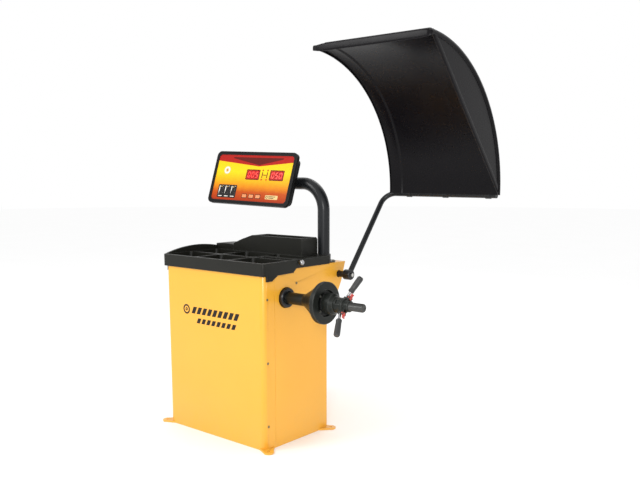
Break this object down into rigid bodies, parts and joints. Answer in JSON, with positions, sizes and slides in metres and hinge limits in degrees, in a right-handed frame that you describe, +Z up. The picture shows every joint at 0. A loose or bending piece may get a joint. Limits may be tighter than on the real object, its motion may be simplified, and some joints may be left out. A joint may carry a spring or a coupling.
{
  "type": "wheel balancer",
  "caption": "Wheel balancing machine: sheet-metal cabinet with weight tray, belt-driven spindle with quick nut, swing-over wheel hood and display head on a bent post.",
  "frame": {"origin": "middle of the cabinet's footprint, on the floor, at the underside of the base plate", "axes": "+Z up, +X along the spindle towards the wheel side, -Y towards the operator at the front cover"},
  "size_m": [1.3734, 0.8372, 1.7256],
  "materials": {
    "paint": "gloss powder coat",
    "tray_plastic": "textured",
    "hood_plastic": "glossy",
    "black_plastic": "satin",
    "black_paint": "satin powder coat",
    "dark_steel": "dark painted",
    "bright_steel": "turned",
    "zinc": "zinc plated",
    "rubber": "matt",
    "grip_plastic": "satin",
    "red_plastic": "satin",
    "brass": "turned",
    "circuit_board": "lacquered",
    "overlay_film": "printed film",
    "led_glass": "smoked red"
  },
  "bodies": {
    "root": {"base_plate": "paint", "front_cover": "paint", "right_side_panel": "paint", "left_side_panel": "paint", "rear_panel": "paint", "top_deck": "paint", "panel_screws": "zinc", "weight_tray": "tray_plastic", "tool_shelf": "tray_plastic", "spindle_column": "dark_steel", "spindle_housing": "dark_steel", "spindle_collar": "black_paint", "bearing_outer_rings": "bright_steel", "piezo_sensors": "brass", "sensor_bolts": "zinc", "motor_body": "black_plastic", "motor_bracket": "dark_steel", "drive_belt": "rubber", "encoder_sensor": "black_plastic", "power_board": "circuit_board", "mains_inlet": "black_plastic", "post_socket": "black_paint", "hood_brackets": "dark_steel", "hood_stop": "rubber", "gauge_guide": "brass"},
    "rocker": {"mains_switch": "red_plastic"},
    "spindle": {"main_shaft": "bright_steel", "wheel_flange": "dark_steel", "flange_screws": "zinc", "driven_pulley": "bright_steel", "encoder_disc": "black_plastic", "bearing_inner_rings": "bright_steel", "bearing_balls": "bright_steel", "shaft_lock_nut": "zinc"},
    "motor_rotor": {"motor_pulley": "bright_steel"},
    "cup": {"pressure_cup": "dark_steel", "cup_rubber_ring": "rubber"},
    "quick_nut": {"nut_body": "dark_steel", "nut_handles": "bright_steel", "handle_grips": "grip_plastic"},
    "lever_upper": {"release_lever_upper": "red_plastic"},
    "lever_lower": {"release_lever_lower": "red_plastic"},
    "jaw_upper": {"thread_jaw_upper": "dark_steel"},
    "jaw_lower": {"thread_jaw_lower": "dark_steel"},
    "hood": {"hood_shell": "hood_plastic", "hood_tube": "black_paint", "hood_shaft": "black_paint", "hood_clamps": "black_paint", "hood_bolts": "zinc", "hood_stop_arm": "dark_steel"},
    "post": {"display_post": "black_paint"},
    "head": {"head_bracket": "black_paint", "display_housing": "black_plastic", "display_overlay": "overlay_film", "led_windows": "led_glass", "display_board": "circuit_board"},
    "start_key": {"key_start": "overlay_film"},
    "stop_key": {"key_stop": "overlay_film"},
    "mode_key": {"key_mode": "overlay_film"},
    "gauge": {"gauge_rod": "bright_steel"}
  },
  "joints": [
    {"name": "switch_rock", "type": "hinge", "parent": "root", "child": "rocker", "pos_m": [-0.146, 0.206, 0.3], "axis": [1, 0, 0], "range_deg": [0, 16]},
    {"name": "spindle_spin", "type": "hinge", "parent": "root", "child": "spindle", "pos_m": [0.3, -0.068, 0.664], "axis": [1, 0, 0], "continuous": true},
    {"name": "motor_spin", "type": "hinge", "parent": "root", "child": "motor_rotor", "pos_m": [0, 0.06, 0.26], "axis": [1, 0, 0], "continuous": true},
    {"name": "cup_slide", "type": "slide", "parent": "spindle", "child": "cup", "axis": [1, 0, 0], "range_m": [-0.005, 0.06]},
    {"name": "nut_turn", "type": "hinge", "parent": "cup", "child": "quick_nut", "pos_m": [0.628, -0.068, 0.664], "axis": [1, 0, 0], "continuous": true},
    {"name": "lever_upper_press", "type": "hinge", "parent": "quick_nut", "child": "lever_upper", "pos_m": [0.65651, -0.0466, 0.69345], "axis": [0, -0.809, 0.5878], "range_deg": [0, 12]},
    {"name": "lever_lower_press", "type": "hinge", "parent": "quick_nut", "child": "lever_lower", "pos_m": [0.65651, -0.0894, 0.63455], "axis": [0, 0.809, -0.5878], "range_deg": [0, 12]},
    {"name": "jaw_upper_open", "type": "slide", "parent": "quick_nut", "child": "jaw_upper", "axis": [0, -0.809, 0.5878], "range_m": [0, 0.002], "stiffness_N_per_m": 600, "springref_m": -0.0035},
    {"name": "jaw_lower_open", "type": "slide", "parent": "quick_nut", "child": "jaw_lower", "axis": [0, 0.809, -0.5878], "range_m": [0, 0.002], "stiffness_N_per_m": 600, "springref_m": -0.0035},
    {"name": "hood_swing", "type": "hinge", "parent": "root", "child": "hood", "pos_m": [0.38, 0.3, 0.732], "axis": [1, 0, 0], "range_deg": [0, 75]},
    {"name": "post_swivel", "type": "hinge", "parent": "root", "child": "post", "pos_m": [0.258, 0.262, 0.8], "axis": [0, 0, 1], "range_deg": [-15, 50]},
    {"name": "head_tilt", "type": "hinge", "parent": "post", "child": "head", "pos_m": [-0.105, 0.262, 1.153], "axis": [1, 0, 0], "range_deg": [-8, 18]},
    {"name": "key_start_press", "type": "slide", "parent": "head", "child": "start_key", "axis": [-0.0992, 0.9437, -0.3156], "range_m": [0, 0.0008], "stiffness_N_per_m": 400, "springref_m": -0.001},
    {"name": "key_stop_press", "type": "slide", "parent": "head", "child": "stop_key", "axis": [-0.0992, 0.9437, -0.3156], "range_m": [0, 0.0008], "stiffness_N_per_m": 400, "springref_m": -0.001},
    {"name": "key_mode_press", "type": "slide", "parent": "head", "child": "mode_key", "axis": [-0.0992, 0.9437, -0.3156], "range_m": [0, 0.0008], "stiffness_N_per_m": 400, "springref_m": -0.001},
    {"name": "gauge_pull", "type": "slide", "parent": "root", "child": "gauge", "axis": [1, 0, 0], "range_m": [0, 0.18]}
  ],
  "couplings": [
    {"joint": "motor_spin", "follows": "spindle_spin", "ratio": 3.6},
    {"joint": "lever_upper_press", "follows": "jaw_upper_open", "rad_per_m": 104.7},
    {"joint": "lever_lower_press", "follows": "jaw_lower_open", "rad_per_m": 104.7}
  ]
}
